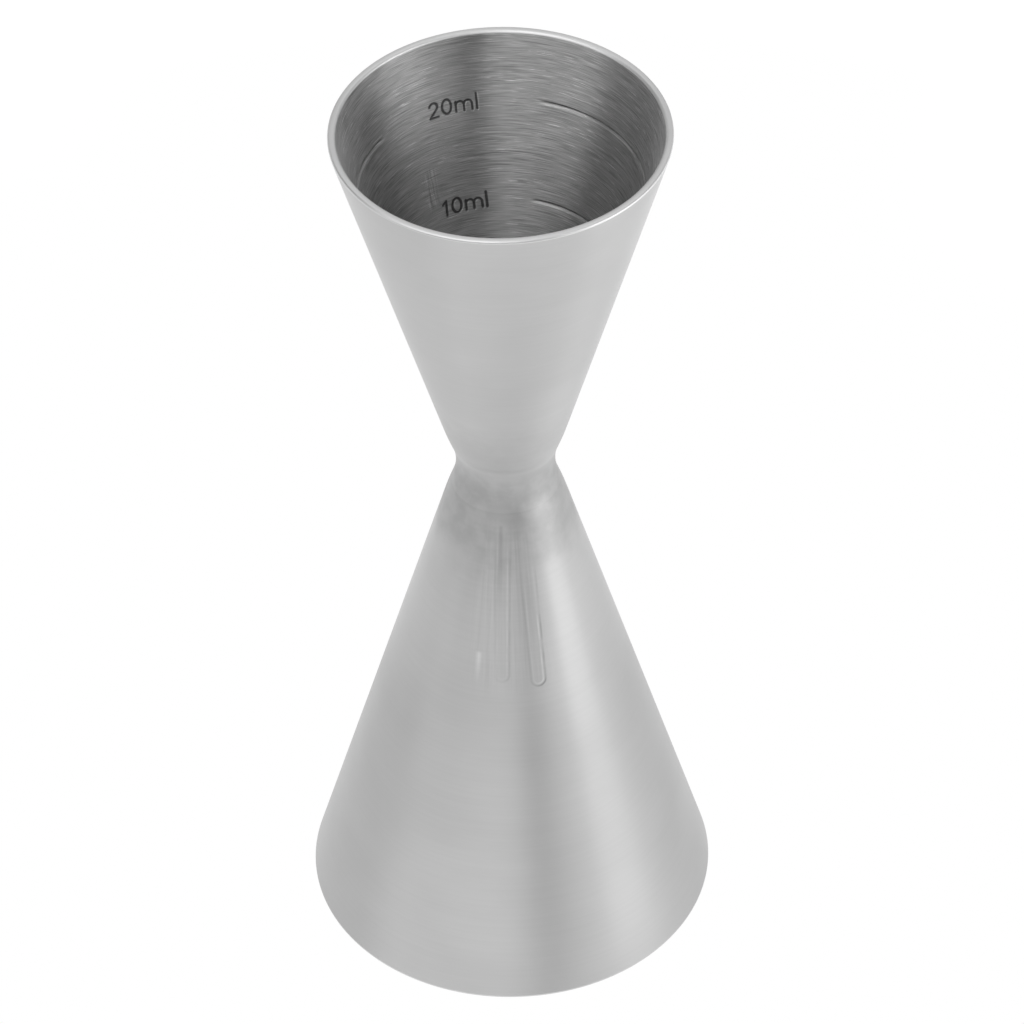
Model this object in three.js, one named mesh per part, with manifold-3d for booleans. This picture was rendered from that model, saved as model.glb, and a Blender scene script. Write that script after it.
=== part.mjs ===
// Double-ended bar jigger: a small and a large spun steel cup, joined floor to floor at the waist by a
// weld that is dressed to a smooth hollow. Millimetres, +Z up. The origin is the centre of the circle
// that the large cup's rim stands on, and the small cup opens upwards.
import * as THREE from 'three';
import { mergeVertices } from 'three/addons/utils/BufferGeometryUtils.js';
import Module from 'manifold-3d';

const wasm = await Module();
wasm.setup();

// Driving dimensions
const height = 126.7;
const waistHeight = 73.4; // the plane where the two floors meet
const smallRimRadius = 21.3; // both rims are given before their edges are rounded
const largeRimRadius = 27.2;
const waistRadius = 6.4; // the narrowest, at the weld
const wall = 1.0; // of the sides and of the floors
const rimEdgeRadius = 0.3;
const weldHollowRadius = 10.0; // the dressed weld's concave section
const weldContactAngle = THREE.MathUtils.degToRad(20.5); // slope of the surface where weld meets cup
const sideBowRadius = 45.0; // each cup's side bows inwards a little before it meets the weld
const segments = 64;

// Measuring lines: each is a shallow round-nosed groove, broken where its number stands
const lineHeights = { ten: 104.8, twenty: 117.8 };
const lineToolRadius = 0.3;
const lineDepth = 0.12;
const lineToolSides = 8;
const lineSteps = 52;
const numberAzimuth = THREE.MathUtils.degToRad(109.5);
const lineGapHalfAngle = THREE.MathUtils.degToRad(37);

const smallDepth = height - waistHeight;
const largeDepth = waistHeight;

// Points of an arc, from one angle to another in equal steps, both ends included
function arc(centreR, centreH, radius, fromAngle, toAngle, steps) {
  const points = [];
  for (let i = 0; i <= steps; i += 1) {
    const angle = fromAngle + ((toAngle - fromAngle) * i) / steps;
    points.push([centreR + radius * Math.cos(angle), centreH + radius * Math.sin(angle)]);
  }
  return points;
}

// The weld's edge, as distances from the axis and from the joint plane. All arcs that meet there have
// the same tangent, so that no step shows between a cup and the weld.
const weldEdgeR = waistRadius + weldHollowRadius * (1 - Math.cos(weldContactAngle));
const weldEdgeH = weldHollowRadius * Math.sin(weldContactAngle);

// Each cup's outer corner between floor and side, which the weld is bedded on
const floorCornerRadius = weldEdgeH / (1 - Math.sin(weldContactAngle));
const floorCornerR = weldEdgeR - floorCornerRadius * Math.cos(weldContactAngle);

// Centre of the bow between the weld's edge and the straight side
const bowCentreR = weldEdgeR - sideBowRadius * Math.cos(weldContactAngle);
const bowCentreH = weldEdgeH + sideBowRadius * Math.sin(weldContactAngle);

// Half angle of a cup's cone: the straight side runs from the rim and touches the bow
function slantOf(rimRadius, depth) {
  const run = rimRadius - bowCentreR;
  const rise = depth - bowCentreH;
  return Math.acos(sideBowRadius / Math.hypot(run, rise)) - Math.atan2(rise, run);
}

// The outer corner that the weld is bedded on, from the floor outwards
function beddedCorner() {
  return arc(floorCornerR, floorCornerRadius, floorCornerRadius, -Math.PI / 2, -weldContactAngle, 4);
}

// Section of a cup, as [radius, distance from the joint plane]: floor underside, outer corner, outer
// side, rounded rim, inner side, inner corner, floor
function cupSection(rimRadius, depth) {
  const slant = slantOf(rimRadius, depth);
  const innerOffset = wall / Math.cos(slant);
  const outerEdgeShift = rimEdgeRadius * Math.tan(Math.PI / 4 + slant / 2);
  const innerEdgeShift = rimEdgeRadius * Math.tan(Math.PI / 4 - slant / 2);
  const edgeCentreH = depth - rimEdgeRadius;
  const outerEdgeR = rimRadius - outerEdgeShift;
  const innerEdgeR = rimRadius - innerOffset + innerEdgeShift;
  const innerCornerRadius = floorCornerRadius - wall;
  const innerBowRadius = sideBowRadius - wall;
  return [
    [0, 0],
    ...beddedCorner(),
    ...arc(bowCentreR, bowCentreH, sideBowRadius, -weldContactAngle, -slant, 2).slice(1),
    ...arc(outerEdgeR, edgeCentreH, rimEdgeRadius, -slant, Math.PI / 2, 3),
    ...arc(innerEdgeR, edgeCentreH, rimEdgeRadius, Math.PI / 2, Math.PI - slant, 3),
    ...arc(bowCentreR, bowCentreH, innerBowRadius, -slant, -weldContactAngle, 2),
    ...arc(floorCornerR, floorCornerRadius, innerCornerRadius, -weldContactAngle, -Math.PI / 2, 4).slice(1),
    [0, wall],
  ];
}

// Solid of revolution about +Z from a section of [radius, height] points, anticlockwise
function spin(section) {
  const points = section.map(([r, z]) => new THREE.Vector2(r, z));
  const geometry = new THREE.LatheGeometry(points, segments);
  geometry.rotateX(Math.PI / 2);
  return geometry;
}

function smallCupGeometry() {
  const section = cupSection(smallRimRadius, smallDepth);
  return spin(section.map(([r, h]) => [r, waistHeight + h]));
}

function largeCupGeometry() {
  const section = cupSection(largeRimRadius, largeDepth);
  return spin(section.map(([r, h]) => [r, waistHeight - h]).reverse());
}

// Weld metal: a ring that fills the groove between the two rounded corners, hollow on the outside
function weldGeometry() {
  const small = beddedCorner().map(([r, h]) => [r, waistHeight + h]);
  const large = beddedCorner().map(([r, h]) => [r, waistHeight - h]);
  const centreR = waistRadius + weldHollowRadius;
  const [from, to] = [Math.PI + weldContactAngle, Math.PI - weldContactAngle];
  const hollow = arc(centreR, waistHeight, weldHollowRadius, from, to, 8);
  return spin([large.at(-1), ...hollow.slice(1, -1), ...small.reverse(), ...large.slice(1)]);
}

// Circular path of a line's cutting tool, from one side of the number round to the other
class LinePath extends THREE.Curve {
  constructor(radius, z) {
    super();
    this.radius = radius;
    this.z = z;
  }

  getPoint(t, target = new THREE.Vector3()) {
    const sweep = 2 * (Math.PI - lineGapHalfAngle);
    const angle = numberAzimuth + lineGapHalfAngle + sweep * t;
    return target.set(this.radius * Math.cos(angle), this.radius * Math.sin(angle), this.z);
  }
}

// The round-nosed tool's sweep for the line at height z inside the small cup
function lineTool(z) {
  const slant = slantOf(smallRimRadius, smallDepth);
  const innerRadius = smallRimRadius - (height - z) * Math.tan(slant) - wall / Math.cos(slant);
  const standOff = lineToolRadius - lineDepth;
  const path = new LinePath(innerRadius - standOff * Math.cos(slant), z + standOff * Math.sin(slant));
  const nose = new THREE.Shape();
  for (let i = 0; i < lineToolSides; i += 1) {
    const angle = (2 * Math.PI * i) / lineToolSides;
    const corner = [lineToolRadius * Math.cos(angle), lineToolRadius * Math.sin(angle)];
    if (i === 0) nose.moveTo(...corner);
    else nose.lineTo(...corner);
  }
  return new THREE.ExtrudeGeometry(nose, { steps: lineSteps, extrudePath: path, bevelEnabled: false });
}

function toManifold(geometry) {
  const bare = geometry.clone();
  bare.deleteAttribute('normal');
  bare.deleteAttribute('uv');
  const merged = mergeVertices(bare);
  const vertProperties = new Float32Array(merged.attributes.position.array);
  const triVerts = new Uint32Array(merged.index.array);
  return new wasm.Manifold(new wasm.Mesh({ numProp: 3, vertProperties, triVerts }));
}

function toGeometry(manifold) {
  const mesh = manifold.getMesh();
  const geometry = new THREE.BufferGeometry();
  geometry.setAttribute('position', new THREE.BufferAttribute(mesh.vertProperties, 3));
  geometry.setIndex(new THREE.BufferAttribute(mesh.triVerts, 1));
  geometry.computeVertexNormals();
  return geometry;
}

function cutLines(cup) {
  let solid = toManifold(cup);
  for (const z of Object.values(lineHeights)) {
    solid = solid.subtract(toManifold(lineTool(z)));
  }
  return toGeometry(solid);
}

function steel(color, roughness) {
  return new THREE.MeshStandardMaterial({ color, roughness, metalness: 1 });
}

function piece(name, geometry, material) {
  const mesh = new THREE.Mesh(geometry, material);
  mesh.name = name;
  return mesh;
}

const jigger = new THREE.Group();
jigger.name = 'bar_jigger';
jigger.add(piece('small_cup', cutLines(smallCupGeometry()), steel(0xb9babb, 0.36)));
jigger.add(piece('large_cup', largeCupGeometry(), steel(0xb9babb, 0.36)));
jigger.add(piece('waist_weld', weldGeometry(), steel(0xbcbdbe, 0.3)));

export default jigger;
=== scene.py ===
"""Looks of the bar jigger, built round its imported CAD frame.

Metres, +Z up, with the large cup's rim on z = 0.
"""

import math

import bpy
import numpy as np
from mathutils import Matrix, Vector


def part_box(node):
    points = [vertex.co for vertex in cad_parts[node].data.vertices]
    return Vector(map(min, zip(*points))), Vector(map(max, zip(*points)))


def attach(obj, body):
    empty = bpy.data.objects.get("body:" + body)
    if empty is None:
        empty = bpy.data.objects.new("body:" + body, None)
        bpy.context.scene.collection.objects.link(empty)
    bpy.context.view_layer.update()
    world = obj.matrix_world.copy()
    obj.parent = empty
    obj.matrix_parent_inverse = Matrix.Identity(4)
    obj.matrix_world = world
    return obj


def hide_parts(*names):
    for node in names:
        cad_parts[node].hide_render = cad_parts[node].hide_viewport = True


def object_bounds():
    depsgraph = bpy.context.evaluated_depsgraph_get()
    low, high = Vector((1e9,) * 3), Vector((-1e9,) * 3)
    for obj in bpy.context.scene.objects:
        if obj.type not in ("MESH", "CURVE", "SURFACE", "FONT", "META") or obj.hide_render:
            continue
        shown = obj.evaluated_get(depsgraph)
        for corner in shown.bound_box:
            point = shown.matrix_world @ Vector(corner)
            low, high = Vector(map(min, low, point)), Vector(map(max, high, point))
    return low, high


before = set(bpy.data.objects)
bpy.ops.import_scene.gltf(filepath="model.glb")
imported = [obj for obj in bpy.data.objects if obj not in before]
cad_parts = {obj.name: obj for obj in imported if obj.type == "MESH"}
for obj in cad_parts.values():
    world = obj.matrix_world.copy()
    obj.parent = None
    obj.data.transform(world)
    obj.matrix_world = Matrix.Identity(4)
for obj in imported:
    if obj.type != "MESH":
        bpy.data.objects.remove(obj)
cad_low, cad_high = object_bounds()

MM = 0.001
FULL_TURN = 2 * math.pi

# Sizes of the pieces, from the frame
TOP = cad_high.z
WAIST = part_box("small_cup")[0].z
SMALL_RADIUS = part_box("small_cup")[1].x
LARGE_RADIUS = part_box("large_cup")[1].x
WELD_HALF_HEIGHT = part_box("waist_weld")[1].z - WAIST
WELD_END_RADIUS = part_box("waist_weld")[1].x

# Sizes that the boxes don't give. They are the CAD's, but for the rims' inner edge, which is rounder here
WALL = 1.0 * MM
WELD_HOLLOW = 10.0 * MM
SIDE_BOW = 45.0 * MM
RIM_EDGE = 0.3 * MM
INNER_RIM_EDGE = 0.45 * MM

# At the weld's edge the hollow, the cups' floor corners and the bow of their sides share one slope
WELD_CONTACT = math.asin(WELD_HALF_HEIGHT / WELD_HOLLOW)
FLOOR_CORNER = WELD_HALF_HEIGHT / (1 - math.sin(WELD_CONTACT))
CORNER_CENTRE = (WELD_END_RADIUS - FLOOR_CORNER * math.cos(WELD_CONTACT), FLOOR_CORNER)
BOW_CENTRE = (
    WELD_END_RADIUS - SIDE_BOW * math.cos(WELD_CONTACT),
    WELD_HALF_HEIGHT + SIDE_BOW * math.sin(WELD_CONTACT),
)

# Lines inside the small cup, and half of the gap that they leave for the numbers
LINE_HEIGHTS = {"10ml": 104.8 * MM, "20ml": 117.8 * MM}
LINE_WIDTH = 0.6 * MM
LINE_DEPTH = 0.18 * MM
LINE_GAP = math.radians(34)
LINE_FADE = math.radians(7)

# Numbers beside the lines. They sit lower than the middle of their line by the drop
NUMBER_AZIMUTH = math.radians(109.7)
NUMBER_DROP = 0.05 * MM
NUMBER_HEIGHT = 1.95 * MM
STROKE_WIDTH = 0.34 * MM
STROKE_SOFTNESS = 0.05 * MM
STROKE_DEPTH = 0.06 * MM

# Painted shade above each line, standing in for the shade on its groove's upper flank: it starts with this
# darkness beside the gap and, over the fade, loses this share of it
GROOVE_SHADE_LIFT = 0.2 * MM
GROOVE_SHADE_WIDTH = 0.4 * MM
GROOVE_SHADE_FADE = math.radians(60)
GROOVE_SHADE_DARKNESS = 0.9
GROOVE_SHADE_LOSS = 0.75


# ---- Sections of the spun cups ----


def arc(centre, radius, start, end, steps):
    """Points of an arc in a section, as (radius, height) pairs, both ends included."""
    angles = [start + (end - start) * i / steps for i in range(steps + 1)]
    return [(centre[0] + radius * math.cos(a), centre[1] + radius * math.sin(a)) for a in angles]


def bedded_corner():
    """The cups' outer floor corner under the weld, from the floor outwards."""
    return arc(CORNER_CENTRE, FLOOR_CORNER, -math.pi / 2, -WELD_CONTACT, 8)


class Cup:
    """Section of one cup. Heights are distances from the joint plane towards the rim."""

    def __init__(self, rim_radius, depth):
        self.depth = depth
        self.slant = 0
        for _ in range(8):
            self.sharp_rim = rim_radius + RIM_EDGE * (math.tan(math.pi / 4 + self.slant / 2) - 1)
            run, rise = self.sharp_rim - BOW_CENTRE[0], depth - BOW_CENTRE[1]
            self.slant = math.acos(SIDE_BOW / math.hypot(run, rise)) - math.atan2(rise, run)

    def inner_radius(self, height):
        """Of the straight side."""
        outer = self.sharp_rim - (self.depth - height) * math.tan(self.slant)
        return outer - WALL / math.cos(self.slant)

    def straight_from(self):
        """Height where the inner side turns from bowed to straight."""
        return BOW_CENTRE[1] - (SIDE_BOW - WALL) * math.sin(self.slant)

    def outside(self):
        """From the middle of the floor's underside to just below the rim."""
        bow = arc(BOW_CENTRE, SIDE_BOW, -WELD_CONTACT, -self.slant, 6)
        start, end = bow[-1], self.rim()[0]
        steps = 16
        side = [
            tuple(a + (b - a) * i / steps for a, b in zip(start, end, strict=True))
            for i in range(1, steps)
        ]
        return [(0, 0), *bedded_corner(), *bow[1:], *side]

    def rim(self):
        """Rounded outer edge, flat top and rounded inner edge."""
        outer = self.sharp_rim - RIM_EDGE * math.tan(math.pi / 4 + self.slant / 2)
        inner = self.inner_radius(self.depth)
        inner += INNER_RIM_EDGE * math.tan(math.pi / 4 - self.slant / 2)
        outer_edge = arc((outer, self.depth - RIM_EDGE), RIM_EDGE, -self.slant, math.pi / 2, 8)
        inner_place = (inner, self.depth - INNER_RIM_EDGE)
        return outer_edge + arc(inner_place, INNER_RIM_EDGE, math.pi / 2, math.pi - self.slant, 8)

    def inside(self, heights):
        """From just below the rim to the middle of the floor, with rows at the given heights."""
        rows = [(self.inner_radius(h), h) for h in sorted(heights, reverse=True)]
        bow = arc(BOW_CENTRE, SIDE_BOW - WALL, -self.slant, -WELD_CONTACT, 6)
        corner = arc(CORNER_CENTRE, FLOOR_CORNER - WALL, -WELD_CONTACT, -math.pi / 2, 8)
        return [*rows, *bow[1:], *corner[1:], (0, WALL)]


# ---- Engraved numbers, as strokes on the inner cone ----


def glyph_arc(x, y, across, up, start, end, steps=14):
    angles = [math.radians(start + (end - start) * i / steps) for i in range(steps + 1)]
    return [(x + across * math.cos(a), y + up * math.sin(a)) for a in angles]


# Each glyph is its width and its strokes, in units of the number's height, on a baseline at 0
GLYPHS = {
    "0": (0.62, [glyph_arc(0.31, 0.5, 0.31, 0.5, 0, 360, 28)]),
    "1": (0.42, [[(0.06, 0.8), (0.3, 1.0), (0.3, 0.0)]]),
    "2": (0.6, [[*glyph_arc(0.3, 0.72, 0.28, 0.28, 165, -35), (0.02, 0.0), (0.6, 0.0)]]),
    "m": (
        1.08,
        [
            [(0.0, 0.0), (0.0, 0.68)],
            [*glyph_arc(0.27, 0.41, 0.27, 0.27, 180, 0), (0.54, 0.0)],
            [*glyph_arc(0.81, 0.41, 0.27, 0.27, 180, 0), (1.08, 0.0)],
        ],
    ),
    "l": (0.0, [[(0.0, 0.0), (0.0, 1.06)]]),
}
# Between glyphs, in the same units
GLYPH_GAP = 0.31


def number_strokes(text):
    """Stroke segments of a number, centred on the origin, in metres: x to a reader's right, y up."""
    widths = [GLYPHS[letter][0] for letter in text]
    total = sum(widths) + GLYPH_GAP * (len(text) - 1)
    x, segments = -total / 2, []
    for letter, width in zip(text, widths, strict=True):
        for stroke in GLYPHS[letter][1]:
            points = [((x + px) * NUMBER_HEIGHT, (py - 0.5) * NUMBER_HEIGHT) for px, py in stroke]
            segments += zip(points, points[1:], strict=False)
        x += width + GLYPH_GAP
    return segments


def distance_to_strokes(x, y, segments):
    """Distance of each point to the nearest stroke."""
    nearest = np.full(x.shape, 1.0)
    for (x0, y0), (x1, y1) in segments:
        dx, dy = x1 - x0, y1 - y0
        along = ((x - x0) * dx + (y - y0) * dy) / max(dx * dx + dy * dy, 1e-12)
        along = np.clip(along, 0, 1)
        nearest = np.minimum(nearest, np.hypot(x - x0 - along * dx, y - y0 - along * dy))
    return nearest


def smooth_step(value):
    value = np.clip(value, 0, 1)
    return value * value * (3 - 2 * value)


def groove(offset, width):
    """Depth share of a round-bottomed groove, 1 on its middle and 0 past its edges."""
    return np.clip(1 - (2 * offset / width) ** 2, 0, 1) ** 1.5


def engraving(azimuth, height, cup):
    """Depth and darkness of the marks at points on the small cup's inner cone. The darkness is the etched
    numbers' own dark and painted shade above each line.

    height is from the joint plane.
    """
    depth, dark = np.zeros(azimuth.shape), np.zeros(azimuth.shape)
    turn = (azimuth - NUMBER_AZIMUTH + math.pi) % FULL_TURN - math.pi
    for text, line_z in LINE_HEIGHTS.items():
        level = line_z - WAIST
        up = (height - level) / math.cos(cup.slant)
        across = -turn * cup.inner_radius(height)
        past = np.abs(turn) - LINE_GAP
        shown = smooth_step(past / LINE_FADE)
        depth = np.maximum(depth, LINE_DEPTH * shown * groove(up, LINE_WIDTH))
        # Painted shade along the upper flank of the line's groove
        groove_shade = shown * (1 - GROOVE_SHADE_LOSS * smooth_step(past / GROOVE_SHADE_FADE))
        dark = np.maximum(dark, GROOVE_SHADE_DARKNESS * groove_shade * groove(up - GROOVE_SHADE_LIFT, GROOVE_SHADE_WIDTH))
        near = (np.abs(up) < NUMBER_HEIGHT) & (np.abs(turn) < LINE_GAP)
        gap = distance_to_strokes(across[near], up[near] + NUMBER_DROP, number_strokes(text))
        stroke = smooth_step((STROKE_WIDTH / 2 + STROKE_SOFTNESS - gap) / (2 * STROKE_SOFTNESS))
        depth[near] = np.maximum(depth[near], STROKE_DEPTH * stroke)
        dark[near] = np.maximum(dark[near], stroke)
    return depth, dark


# ---- Meshes ----

# Corners sharper than this stay sharp
SHARP_ANGLE = math.radians(70)

# Straight side kept clear of the first row of the rim
RIM_CLEARANCE = 0.3 * MM


def spread(start, end, step):
    count = max(2, math.ceil((end - start) / step) + 1)
    return list(np.linspace(start, end, count))


def even_azimuths(count=288):
    return np.arange(count) * FULL_TURN / count


def number_azimuths():
    """Azimuths round the small cup: even ones, with a close-set fan where the numbers are."""
    reach, step = math.radians(15), math.radians(0.23)
    fan = np.arange(NUMBER_AZIMUTH - reach, NUMBER_AZIMUTH + reach, step)
    rest = [a for a in even_azimuths() if abs(a - NUMBER_AZIMUTH) > reach + step]
    return np.array(sorted([*rest, *fan]))


def number_rows(cup):
    """Row heights of the small cup's inner cone: even ones, with close-set rows at the marks."""
    reach, step = 1.35 * MM, 0.07 * MM
    low, high = cup.straight_from(), cup.depth - INNER_RIM_EDGE - RIM_CLEARANCE
    rows = spread(low, high, 1.0 * MM)
    for line_z in LINE_HEIGHTS.values():
        level = line_z - WAIST
        rows = [h for h in rows if abs(h - level) > reach + step]
        rows += spread(level - reach, level + reach, step)
    return rows


def spun_mesh(name, radius, height, azimuths, finish, closed=False):
    """Mesh swept round +Z. radius and height are arrays of section rows by azimuths. finish is the
    material index of each strip between rows. A row of radius 0 is one point."""
    rows, columns = radius.shape
    index = np.zeros((rows, columns), int)
    points = []
    for row in range(rows):
        if radius[row, 0] == 0:
            index[row] = len(points)
            points.append((0, 0, height[row, 0]))
            continue
        index[row] = len(points) + np.arange(columns)
        points += zip(
            radius[row] * np.cos(azimuths), radius[row] * np.sin(azimuths), height[row], strict=True
        )
    faces, slots = [], []
    last = rows if closed else rows - 1
    for row in range(last):
        below, above = index[row], index[(row + 1) % rows]
        for column in range(columns):
            after = (column + 1) % columns
            corners = [below[column], below[after], above[after], above[column]]
            face = list(dict.fromkeys(int(i) for i in corners))
            faces.append(face)
            slots.append(finish[row])
    mesh = bpy.data.meshes.new(name)
    mesh.from_pydata(points, [], faces)
    mesh.polygons.foreach_set("material_index", slots)
    mesh.polygons.foreach_set("use_smooth", [True] * len(faces))
    mesh.update()
    mesh.set_sharp_from_angle(angle=SHARP_ANGLE)
    return mesh, index


def add_piece(name, mesh, node, materials):
    piece = bpy.data.objects.new(name, mesh)
    bpy.context.scene.collection.objects.link(piece)
    for material in materials:
        mesh.materials.append(material)
    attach(piece, "root")
    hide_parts(node)
    return piece


OUTSIDE, RIM, INSIDE = 0, 1, 2


def cup_section(cup, heights):
    """The closed section of a cup, with the finish of each strip."""
    outside, rim, inside = cup.outside(), cup.rim(), cup.inside(heights)
    finish = [OUTSIDE] * len(outside) + [RIM] * (len(rim) - 1) + [INSIDE] * len(inside)
    return np.array(outside + rim + inside), finish[: len(outside + rim + inside) - 1]


def make_small_cup(materials):
    cup = Cup(SMALL_RADIUS, TOP - WAIST)
    azimuths = number_azimuths()
    section, finish = cup_section(cup, number_rows(cup))
    radius = np.repeat(section[:, :1], len(azimuths), axis=1)
    height = np.repeat(section[:, 1:], len(azimuths), axis=1)
    depth, dark = np.zeros(radius.shape), np.zeros(radius.shape)
    first = len(cup.outside()) + len(cup.rim())
    cone = slice(first, first + len(number_rows(cup)))
    turns = np.repeat(azimuths[None, :], cone.stop - cone.start, axis=0)
    depth[cone], dark[cone] = engraving(turns, height[cone], cup)
    radius = radius + depth * math.cos(cup.slant)
    height = WAIST + height - depth * math.sin(cup.slant)
    mesh, index = spun_mesh("small_cup_finished", radius, height, azimuths, finish)
    values = np.zeros(len(mesh.vertices))
    values[index] = dark
    mesh.attributes.new("etching_and_groove_shade", "FLOAT", "POINT").data.foreach_set("value", values)
    return add_piece("small_cup_finished", mesh, "small_cup", materials)


def make_large_cup(materials):
    cup = Cup(LARGE_RADIUS, WAIST)
    azimuths = even_azimuths()
    heights = spread(cup.straight_from(), cup.depth - INNER_RIM_EDGE - RIM_CLEARANCE, 3 * MM)
    section, finish = cup_section(cup, heights)
    section, finish = section[::-1], finish[::-1]
    radius = np.repeat(section[:, :1], len(azimuths), axis=1)
    height = WAIST - np.repeat(section[:, 1:], len(azimuths), axis=1)
    mesh, _ = spun_mesh("large_cup_finished", radius, height, azimuths, finish)
    return add_piece("large_cup_finished", mesh, "large_cup", materials)


def make_weld(material):
    """The weld metal: hollow outside, bedded against both cups' corners inside."""
    centre = (WELD_END_RADIUS + WELD_HOLLOW * math.cos(WELD_CONTACT), 0)
    face = arc(centre, WELD_HOLLOW, math.pi + WELD_CONTACT, math.pi - WELD_CONTACT, 24)
    corner = bedded_corner()
    section = [*face[:-1], *reversed(corner), *[(r, -h) for r, h in corner[1:-1]]]
    section = np.array(section)
    azimuths = even_azimuths()
    radius = np.repeat(section[:, :1], len(azimuths), axis=1)
    height = WAIST + np.repeat(section[:, 1:], len(azimuths), axis=1)
    finish = [0] * len(section)
    mesh, _ = spun_mesh("waist_weld_finished", radius, height, azimuths, finish, closed=True)
    return add_piece("waist_weld_finished", mesh, "waist_weld", [material])


# ---- Materials ----


def put(tree, socket, value):
    """Sets a socket to a value, or links another node's output to it."""
    if isinstance(value, bpy.types.NodeSocket):
        tree.links.new(value, socket)
    else:
        socket.default_value = value


def add_node(tree, kind, values=None, **settings):
    node = tree.nodes.new(kind)
    for key, setting in settings.items():
        setattr(node, key, setting)
    for key, value in (values or {}).items():
        put(tree, node.inputs[key], value)
    return node


def maths(tree, operation, *values, clamp=False):
    node = add_node(tree, "ShaderNodeMath", operation=operation, use_clamp=clamp)
    for socket, value in zip(node.inputs, values, strict=False):
        put(tree, socket, value)
    return node.outputs[0]


def remap(tree, value, low, high, to_low=0.0, to_high=1.0, smooth=True):
    """value from low..high to to_low..to_high, held past both ends."""
    kind = "SMOOTHSTEP" if smooth else "LINEAR"
    span = {"Value": value, "From Min": low, "From Max": high, "To Min": to_low, "To Max": to_high}
    return add_node(tree, "ShaderNodeMapRange", span, interpolation_type=kind).outputs[0]


def object_place(tree):
    return add_node(tree, "ShaderNodeTexCoord").outputs["Object"]


def turn_from(tree, azimuth, middle):
    """Angle between a direction's azimuth and a middle azimuth given in degrees."""
    turn = maths(tree, "SUBTRACT", azimuth, math.radians(middle))
    return maths(tree, "ABSOLUTE", maths(tree, "WRAP", turn, math.pi, -math.pi))


def azimuth_of(tree, place):
    parts = add_node(tree, "ShaderNodeSeparateXYZ", {"Vector": place}).outputs
    return maths(tree, "ARCTAN2", parts["Y"], parts["X"])


def turned_noise(tree, length, pitch, detail=2.0, seed=0.0, distortion=0.0):
    """Noise drawn out round the axis, like the marks of turning.

    length is along a mark and pitch is across it.
    """
    scale = (1 / length, 1 / length, 1 / pitch)
    place = {"Vector": object_place(tree), "Scale": scale, "Location": (seed, 0, 0)}
    stretched = add_node(tree, "ShaderNodeMapping", place).outputs[0]
    noise = {"Vector": stretched, "Scale": 1.0, "Detail": detail, "Distortion": distortion}
    return add_node(tree, "ShaderNodeTexNoise", noise).outputs["Fac"]


def new_material(name):
    material = bpy.data.materials.new(name)
    material.use_nodes = True
    tree = material.node_tree
    tree.nodes.clear()
    return material, tree


def height_of(tree):
    return add_node(tree, "ShaderNodeSeparateXYZ", {"Vector": object_place(tree)}).outputs["Z"]


def radius_of(tree, place):
    flat = add_node(tree, "ShaderNodeVectorMath", {0: place, 1: (1, 1, 0)}, operation="MULTIPLY")
    length = add_node(tree, "ShaderNodeVectorMath", {0: flat.outputs[0]}, operation="LENGTH")
    return length.outputs["Value"]


def mottle(tree, size, seed=0.0, detail=3.0):
    """Noise with no direction, in patches of about the given size."""
    place = {"Vector": object_place(tree), "Location": (seed, seed, 0)}
    moved = add_node(tree, "ShaderNodeMapping", place).outputs[0]
    noise = {"Vector": moved, "Scale": 1 / size, "Detail": detail}
    return add_node(tree, "ShaderNodeTexNoise", noise).outputs["Fac"]


# Rotation of the highlight, in whole turns, that sets the grain round the axis
GRAIN_TURN = 0.25


def finish_steel(tree, tone, roughness, anisotropy, grain, grain_depth):
    """Principled metal with its grain running round the axis. tone is its grey, and grain its relief."""
    grey = {"Red": tone, "Green": tone, "Blue": tone}
    relief = {"Height": grain, "Distance": grain_depth, "Strength": 1.0}
    values = {
        "Base Color": add_node(tree, "ShaderNodeCombineColor", grey).outputs[0],
        "Metallic": 1.0,
        "Roughness": roughness,
        "Anisotropic": anisotropy,
        "Anisotropic Rotation": GRAIN_TURN,
        "Tangent": add_node(tree, "ShaderNodeTangent", direction_type="RADIAL", axis="Z").outputs[0],
        "Normal": add_node(tree, "ShaderNodeBump", relief).outputs[0],
    }
    shader = add_node(tree, "ShaderNodeBsdfPrincipled", values)
    output = add_node(tree, "ShaderNodeOutputMaterial")
    tree.links.new(shader.outputs[0], output.inputs["Surface"])


def ring(tree, gap, middle, half_width):
    """Share of a thin line where gap is near middle."""
    off = maths(tree, "ABSOLUTE", maths(tree, "SUBTRACT", gap, middle))
    return remap(tree, off, 0.0, half_width, 1.0, 0.0)


# ---- Marks on the large cup's outside ----

# Dried runs: azimuth in degrees, bottom, top and how dark the edge is
RUN_MARKS = ((-94, 46.4 * MM, 68 * MM, 0.17), (-74, 45.4 * MM, 63 * MM, 0.3))
RUN_HALF_WIDTH = 1.0 * MM
RUN_FADE = 4 * MM
RUN_EDGE_WIDTH = 0.22 * MM
RUN_INSIDE = -0.03

# Painted highlight: the light line inside a run's dark edge, and its strength as a share of the edge's
RUN_LIP_HIGHLIGHT_INSET = 0.35 * MM
RUN_LIP_HIGHLIGHT_WIDTH = 0.2 * MM
RUN_LIP_HIGHLIGHT_SHARE = 0.8


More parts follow.
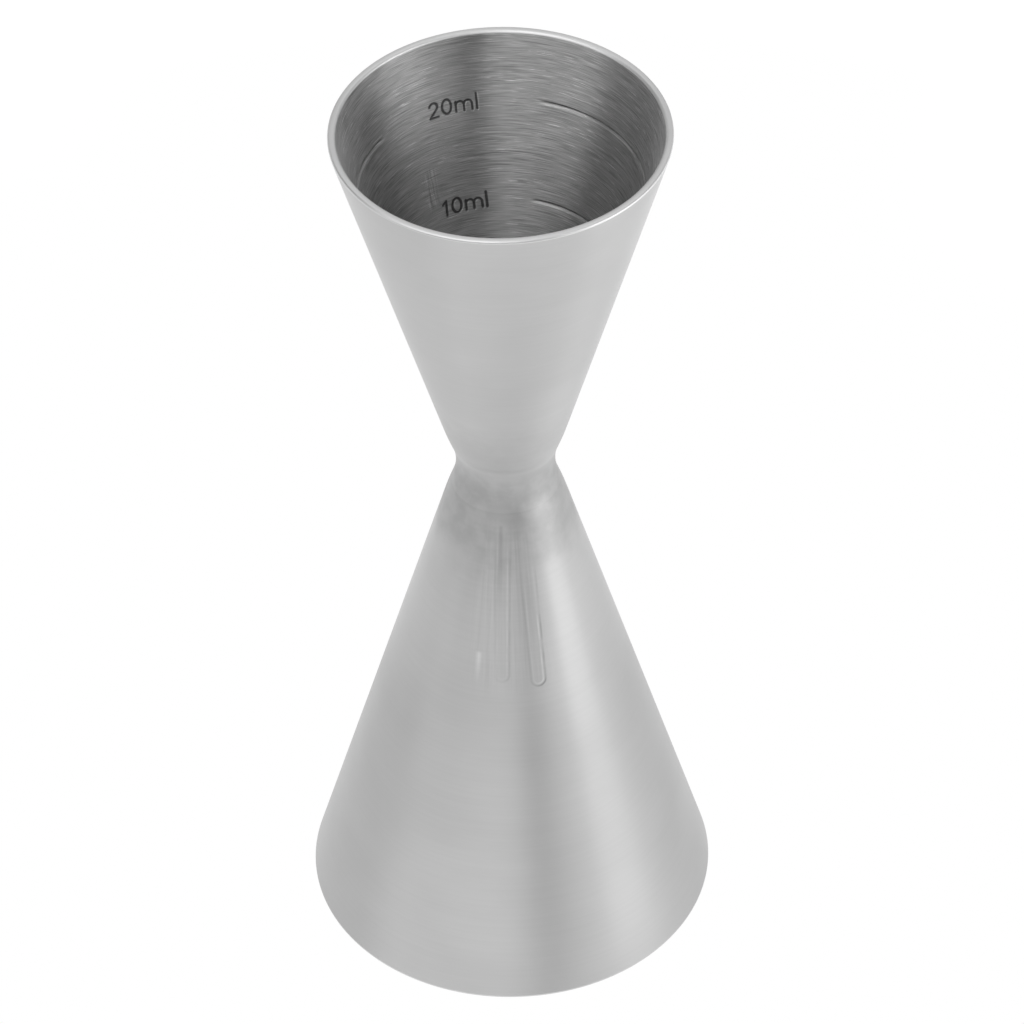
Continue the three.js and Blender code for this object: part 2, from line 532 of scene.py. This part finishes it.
def run_mark(tree, azimuth, height, radius, mark):
    """Tone of the mark of a drop that ran down the side and dried, darkest on its right and below, with a
    painted highlight just inside its edge.
    """
    middle, bottom, top, strength = mark
    turn = maths(tree, "SUBTRACT", azimuth, math.radians(middle))
    across = maths(tree, "MULTIPLY", turn, radius)
    held = maths(tree, "MINIMUM", maths(tree, "MAXIMUM", height, bottom + RUN_HALF_WIDTH), top)
    along = maths(tree, "SUBTRACT", height, held)
    squares = maths(tree, "ADD", maths(tree, "POWER", across, 2), maths(tree, "POWER", along, 2))
    gap = maths(tree, "SQRT", squares)

    rightward = remap(tree, across, -RUN_HALF_WIDTH, RUN_HALF_WIDTH, 0.25, 1.0)
    uneven = remap(tree, mottle(tree, 4 * MM, seed=4), 0.35, 0.6, 0.25, 1.0)
    drawn = maths(tree, "MULTIPLY", uneven, rightward)
    pooled = remap(tree, height, bottom, bottom + 2 * MM, 1.5, 0.9)
    edge = maths(tree, "MULTIPLY", drawn, ring(tree, gap, RUN_HALF_WIDTH, RUN_EDGE_WIDTH))
    edge = maths(tree, "MULTIPLY", edge, pooled)
    lip_highlight = ring(tree, gap, RUN_HALF_WIDTH - RUN_LIP_HIGHLIGHT_INSET, RUN_LIP_HIGHLIGHT_WIDTH)
    lip_highlight = maths(tree, "MULTIPLY", drawn, lip_highlight)
    inside = remap(tree, gap, RUN_HALF_WIDTH - 0.2 * MM, RUN_HALF_WIDTH + 0.1 * MM, 1.0, 0.0)

    change = maths(tree, "MULTIPLY", inside, RUN_INSIDE)
    change = maths(tree, "MULTIPLY_ADD", edge, -strength, change)
    change = maths(tree, "MULTIPLY_ADD", lip_highlight, RUN_LIP_HIGHLIGHT_SHARE * strength, change)
    fade = remap(tree, height, top - RUN_FADE, top, 1.0, 0.0)
    return maths(tree, "MULTIPLY_ADD", change, fade, 1.0)


# A painted glint and a dark streak: azimuth in degrees, bottom, top, half width and how bright
GLINT_AND_STREAK = (
    (-107.6, 45 * MM, 50 * MM, 0.3 * MM, 0.24),
    (-95.6, 51 * MM, 68 * MM, 0.24 * MM, -0.14),
)


def upright_mark(tree, azimuth, height, radius, upright_entry):
    """Tone of a narrow upright mark, strongest at its top."""
    middle, bottom, top, half_width, strength = upright_entry
    across = maths(tree, "MULTIPLY", turn_from(tree, azimuth, middle), radius)
    narrow = remap(tree, across, 0.0, 2 * half_width, 1.0, 0.0)
    above = remap(tree, height, bottom, top)
    below = remap(tree, height, top, top + 2 * half_width, 1.0, 0.0)
    share = maths(tree, "MULTIPLY", narrow, maths(tree, "MULTIPLY", above, below))
    return maths(tree, "MULTIPLY_ADD", share, strength, 1.0)


# Areas of fine streaks: middle azimuth and half width in degrees, lowest and highest point, streaks to a
# radian, length of a streak and how much the tone swings
WIPED_STREAKS = {
    "middle": -90,
    "half_width": 30,
    "low": 43 * MM,
    "high": 70 * MM,
    "count": 22,
    "length": 18 * MM,
    "swing": 0.07,
}
SCRATCHES = {
    "middle": 126,
    "half_width": 5,
    "low": 105 * MM,
    "high": 111 * MM,
    "count": 70,
    "length": 4 * MM,
    "swing": 0.4,
}


def streaks_down(tree, azimuth, height, middle, half_width, low, high, count, length, swing):
    """Tone of fine streaks that run down a cone inside one area."""
    columns = maths(tree, "MULTIPLY", azimuth, count)
    rows = maths(tree, "DIVIDE", height, length)
    vector = add_node(tree, "ShaderNodeCombineXYZ", {"X": columns, "Y": rows}).outputs[0]
    noise = {"Vector": vector, "Scale": 1.0, "Detail": 3.0, "Roughness": 0.65}
    value = add_node(tree, "ShaderNodeTexNoise", noise).outputs["Fac"]
    turn = turn_from(tree, azimuth, middle)
    near = remap(tree, turn, math.radians(half_width * 0.4), math.radians(half_width), 1.0, 0.0)
    end = (high - low) / 5
    above = remap(tree, height, low, low + end)
    below = remap(tree, height, high - end, high, 1.0, 0.0)
    share = maths(tree, "MULTIPLY", near, maths(tree, "MULTIPLY", above, below))
    change = remap(tree, value, 0.3, 0.7, -swing, swing, smooth=False)
    return maths(tree, "MULTIPLY_ADD", share, change, 1.0)


# Heights between which the large cup's roughness changes, and what is added to it below and above them
RUBBED_HEIGHTS = (34 * MM, 46 * MM)
RUBBED_ROUGHNESS = (0.05, -0.03)

# Painted light: heights between which its tone changes, and what multiplies the tone below them to
# brighten its foot
FOOT_HEIGHTS = (8 * MM, 45 * MM)
FOOT_BRIGHTNESS = 1.07


def large_cup_marks_and_light(tree, height, tone, roughness):
    """Adds what the large cup's outside has and the small cup's hasn't: rougher below, painted light
    towards its foot, dried runs, fine streaks, a painted glint and a dark streak.
    """
    rubbed = remap(tree, height, *RUBBED_HEIGHTS)
    rubbed = remap(tree, rubbed, 0, 1, *RUBBED_ROUGHNESS, smooth=False)
    roughness = maths(tree, "ADD", roughness, rubbed)
    place = object_place(tree)
    azimuth = azimuth_of(tree, place)
    radius = radius_of(tree, place)
    changes = [remap(tree, height, *FOOT_HEIGHTS, FOOT_BRIGHTNESS, 1.0)]
    changes += [run_mark(tree, azimuth, height, radius, mark) for mark in RUN_MARKS]
    changes.append(streaks_down(tree, azimuth, height, **WIPED_STREAKS))
    changes += [upright_mark(tree, azimuth, height, radius, upright_entry) for upright_entry in GLINT_AND_STREAK]
    for change in changes:
        tone = maths(tree, "MULTIPLY", tone, change)
    return tone, roughness


# ---- Finishes. A tone is the share of light that the steel returns ----

SMALL_CUP_TONE = 0.54
LARGE_CUP_TONE = 0.498
SATIN_ROUGHNESS = 0.33
SATIN_GRAIN_DEPTH = 0.001 * MM

# The dull finish round the waist: the distances from the joint over which it fades, how far patches move
# them, and the roughness it adds
DULL_END = (10.5 * MM, 18.5 * MM)
DULL_RAGGEDNESS = 8 * MM
DULL_ROUGHNESS = 0.16

# Its tone below and above the joint, and a darker ring round the waist
DULL_TONES = (0.85, 0.93)
WAIST_RING_DROP = 1 * MM
WAIST_RING_HALF_WIDTH = 4.5 * MM
WAIST_RING_TONE = -0.11

# Painted highlight: a light line at the upper edge of the dressed weld, where the waist's curve catches
# light
WAIST_HIGHLIGHT_RISE = 2.9 * MM
WAIST_HIGHLIGHT_HALF_WIDTH = 0.7 * MM
WAIST_HIGHLIGHT_TONE = 0.05


def dulled_by_weld(tree, height):
    """Share of the dull finish round the weld at the waist."""
    gap = maths(tree, "ABSOLUTE", maths(tree, "SUBTRACT", height, WAIST))
    patches = mottle(tree, 4 * MM, seed=2, detail=4.0)
    ragged = maths(tree, "MULTIPLY_ADD", patches, DULL_RAGGEDNESS, gap)
    return remap(tree, ragged, *DULL_END, 1.0, 0.0)


def dull_tone(tree, height):
    """Tone of the dull finish: smudged below the joint, cleaner above, darkest in a ring round the waist.
    """
    tone = remap(tree, height, WAIST - 4 * MM, WAIST + 4 * MM, *DULL_TONES)
    smudges = mottle(tree, 2.0 * MM, seed=11, detail=5.0)
    smudges = remap(tree, smudges, 0.35, 0.65, -0.04, 0.04)
    cleaner = remap(tree, height, WAIST, WAIST + 3 * MM, 1.0, 0.3)
    tone = maths(tree, "ADD", tone, maths(tree, "MULTIPLY", smudges, cleaner))
    waist_ring = ring(tree, height, WAIST - WAIST_RING_DROP, WAIST_RING_HALF_WIDTH)
    return maths(tree, "MULTIPLY_ADD", waist_ring, WAIST_RING_TONE, tone)


def satin_outside(name, steel, marks_and_light=None):
    """Satin steel, turned round the axis and dull at the waist, with a painted highlight at the weld's
    upper edge. The last argument adds one piece's own marks and painted light.
    """
    material, tree = new_material(name)
    height = height_of(tree)
    lines = turned_noise(tree, 14 * MM, 0.4 * MM, detail=2)
    cloud = turned_noise(tree, 14 * MM, 9 * MM, detail=2, seed=5)
    tone = maths(tree, "ADD", remap(tree, lines, 0.3, 0.7, -0.007, 0.007), steel)
    tone = maths(tree, "ADD", tone, remap(tree, cloud, 0.3, 0.7, -0.01, 0.01))
    dull = dulled_by_weld(tree, height)
    dulled = remap(tree, dull, 0, 1, 1.0, dull_tone(tree, height), smooth=False)
    tone = maths(tree, "MULTIPLY", tone, dulled)
    # Painted highlight at the weld's upper edge
    waist_highlight = ring(tree, height, WAIST + WAIST_HIGHLIGHT_RISE, WAIST_HIGHLIGHT_HALF_WIDTH)
    waist_highlight = maths(tree, "MULTIPLY_ADD", waist_highlight, WAIST_HIGHLIGHT_TONE, 1.0)
    tone = maths(tree, "MULTIPLY", tone, waist_highlight)
    roughness = remap(tree, lines, 0.25, 0.75, -0.015, 0.015)
    roughness = maths(tree, "ADD", roughness, SATIN_ROUGHNESS)
    if marks_and_light:
        tone, roughness = marks_and_light(tree, height, tone, roughness)
    roughness = maths(tree, "MULTIPLY_ADD", dull, DULL_ROUGHNESS, roughness)
    anisotropy = remap(tree, dull, 0, 1, 0.9, 0.55, smooth=False)
    finish_steel(tree, tone, roughness, anisotropy, lines, SATIN_GRAIN_DEPTH)
    return material


INSIDE_TONE = 0.45
INSIDE_GRAIN_DEPTH = 0.013 * MM
GLINT_TONE = 0.35

# Share of its tone that the steel keeps where the numbers are etched and where shade is painted above the
# lines
ETCHING_AND_SHADE_SHARE = 0.22


def brushed_inside(name):
    """Coarse brushed steel with painted glints in patches, dark where the numbers are etched and with
    painted shade above the lines, as a mesh attribute says.
    """
    material, tree = new_material(name)
    fine = turned_noise(tree, 3.5 * MM, 0.065 * MM, detail=2, distortion=0.3)
    glints = turned_noise(tree, 2.5 * MM, 0.07 * MM, detail=1, seed=3, distortion=0.4)
    patches = turned_noise(tree, 6 * MM, 1.2 * MM, detail=1, seed=7)
    tone = remap(tree, fine, 0.3, 0.7, -0.17, 0.17, smooth=False)
    tone = maths(tree, "ADD", tone, INSIDE_TONE)
    azimuth = azimuth_of(tree, object_place(tree))
    scratches = streaks_down(tree, azimuth, height_of(tree), **SCRATCHES)
    tone = maths(tree, "MULTIPLY", tone, scratches)
    glint = maths(tree, "MULTIPLY", remap(tree, glints, 0.62, 0.72), remap(tree, patches, 0.42, 0.6))
    tone = maths(tree, "MULTIPLY_ADD", glint, GLINT_TONE, tone)
    etching_and_groove_shade = add_node(tree, "ShaderNodeAttribute", attribute_name="etching_and_groove_shade").outputs["Fac"]
    etching_and_groove_shade = remap(tree, etching_and_groove_shade, 0, 1, 1.0, ETCHING_AND_SHADE_SHARE, smooth=False)
    tone = maths(tree, "MULTIPLY", tone, etching_and_groove_shade)
    roughness = remap(tree, fine, 0.25, 0.75, 0.34, 0.46)
    finish_steel(tree, tone, roughness, 1.0, fine, INSIDE_GRAIN_DEPTH)
    return material


RIM_TONE = 0.65
RIM_ROUGHNESS = 0.42
RIM_ANISOTROPY = 0.4
RIM_GRAIN_DEPTH = 0.002 * MM


def polished_rim(name):
    material, tree = new_material(name)
    lines = turned_noise(tree, 12 * MM, 0.1 * MM, detail=2)
    tone = maths(tree, "ADD", remap(tree, lines, 0.3, 0.7, -0.02, 0.02), RIM_TONE)
    finish_steel(tree, tone, RIM_ROUGHNESS, RIM_ANISOTROPY, lines, RIM_GRAIN_DEPTH)
    return material


# ---- Studio ----

FLOOR_RADIUS = 0.5

# Brighter patches of the floor: brightness added, middle azimuth, half width and edge in degrees, and how
# far from the object each starts, in metres
FLOOR_GLOWS = (
    (0.28, -12, 62, 20, 0.17),
    (0.12, -95, 40, 20, 0.06),
    (0.6, 75, 65, 15, 0.23),
    (0.22, 150, 25, 20, 0.2),
)


def make_floor():
    """A round white table that gives off its own light, brighter in the patches of FLOOR_GLOWS."""
    steps = 96
    mesh = bpy.data.meshes.new("floor")
    turns = [FULL_TURN * i / steps for i in range(steps)]
    edge = [(FLOOR_RADIUS * math.cos(a), FLOOR_RADIUS * math.sin(a), 0) for a in turns]
    mesh.from_pydata(edge, [], [tuple(range(steps))])
    material, tree = new_material("white_floor")
    place = object_place(tree)
    azimuth = azimuth_of(tree, place)
    length = add_node(tree, "ShaderNodeVectorMath", {0: place}, operation="LENGTH")
    distance = length.outputs["Value"]
    strength = 1.0
    for added, middle, half_width, soft, start in FLOOR_GLOWS:
        turn = turn_from(tree, azimuth, middle)
        low, high = math.radians(half_width - soft), math.radians(half_width + soft)
        across = remap(tree, turn, low, high, 1.0, 0.0)
        away = remap(tree, distance, 0.8 * start, 1.2 * start)
        share = maths(tree, "MULTIPLY", across, away)
        strength = maths(tree, "MULTIPLY_ADD", share, added, strength)
    light = add_node(tree, "ShaderNodeEmission", {"Color": (1, 1, 1, 1), "Strength": strength})
    output = add_node(tree, "ShaderNodeOutputMaterial")
    tree.links.new(light.outputs[0], output.inputs["Surface"])
    mesh.materials.append(material)
    floor = bpy.data.objects.new("floor", mesh)
    bpy.context.scene.collection.objects.link(floor)


def softbox(tree, azimuth, elevation, panel, edge):
    """Share, 0 to 1, of a panel of light in a direction.

    panel is its middle azimuth, half width, lowest and highest elevation, and edge is how soft its borders
    are, all in degrees.
    """
    half_width, lowest, highest = (math.radians(angle) for angle in panel[1:])
    soft = math.radians(edge)
    turn = turn_from(tree, azimuth, panel[0])
    across = remap(tree, turn, half_width - soft, half_width + soft, 1.0, 0.0)
    above = remap(tree, elevation, lowest - soft, lowest + soft)
    below = remap(tree, elevation, highest - soft, highest + soft, 1.0, 0.0)
    return maths(tree, "MULTIPLY", across, maths(tree, "MULTIPLY", above, below))


# Brightness of each panel, the panel as softbox() takes it, and its edge. Where they overlap they add up,
# and between them the surroundings are black
PANELS = (
    (0.85, (0, 200, 45, 100), 10),
    (0.5, (90, 45, 10, 60), 12),
    (1.0, (-123, 44, 10, 100), 13),
    (0.4, (-125, 44, 10, 50), 13),
    (1.9, (-17, 27, -20, 10), 18),
    (1.9, (-30, 32, 12, 32), 12),
    (0.8, (-23, 13, -20, 25), 5),
    (0.7, (75, 70, -20, 11), 14),
    (0.75, (165, 35, -20, 15), 20),
    (0.38, (28, 28, 2, 34), 14),
    (0.15, (55, 35, 20, 60), 15),
    (0.08, (-70, 35, -20, 50), 15),
    (0.27, (-175, 30, 8, 45), 14),
)


def make_studio_light():
    world = bpy.data.worlds.new("studio")
    bpy.context.scene.world = world
    world.use_nodes = True
    tree = world.node_tree
    tree.nodes.clear()
    way = add_node(tree, "ShaderNodeTexCoord").outputs["Generated"]
    azimuth = azimuth_of(tree, way)
    upward = add_node(tree, "ShaderNodeSeparateXYZ", {"Vector": way}).outputs["Z"]
    elevation = maths(tree, "ARCSINE", upward)
    light = 0.0
    for added, panel, edge in PANELS:
        share = softbox(tree, azimuth, elevation, panel, edge)
        light = maths(tree, "MULTIPLY_ADD", share, added, light)
    back = add_node(tree, "ShaderNodeBackground", {"Color": (1, 1, 1, 1), "Strength": light})
    output = add_node(tree, "ShaderNodeOutputWorld")
    tree.links.new(back.outputs[0], output.inputs["Surface"])


def make_camera():
    """The photograph's view: a long lens in front of the object, looking down on it."""
    camera = bpy.data.objects.new("camera", bpy.data.cameras.new("camera"))
    bpy.context.scene.collection.objects.link(camera)
    camera.data.sensor_width = 36
    camera.data.lens = 187.55
    camera.data.clip_start = 0.05
    camera.data.clip_end = 20
    distance, height = 0.51154, 0.5322
    pitch, pan, lean = 0.7415, 0.0014, -0.0150
    turn = Matrix.Rotation(-pan, 4, "Z") @ Matrix.Rotation(math.pi / 2 - pitch, 4, "X")
    turn = turn @ Matrix.Rotation(lean, 4, "Z")
    camera.matrix_world = Matrix.Translation((0, -distance, height)) @ turn
    bpy.context.scene.camera = camera


bpy.context.scene.view_settings.view_transform = "Standard"
make_camera()
make_floor()
make_studio_light()
rim, inside = polished_rim("polished_rim"), brushed_inside("brushed_inside")
make_small_cup([satin_outside("satin_small_cup", SMALL_CUP_TONE), rim, inside])
make_large_cup([satin_outside("satin_large_cup", LARGE_CUP_TONE, large_cup_marks_and_light), rim, inside])
make_weld(satin_outside("dressed_weld", SMALL_CUP_TONE))
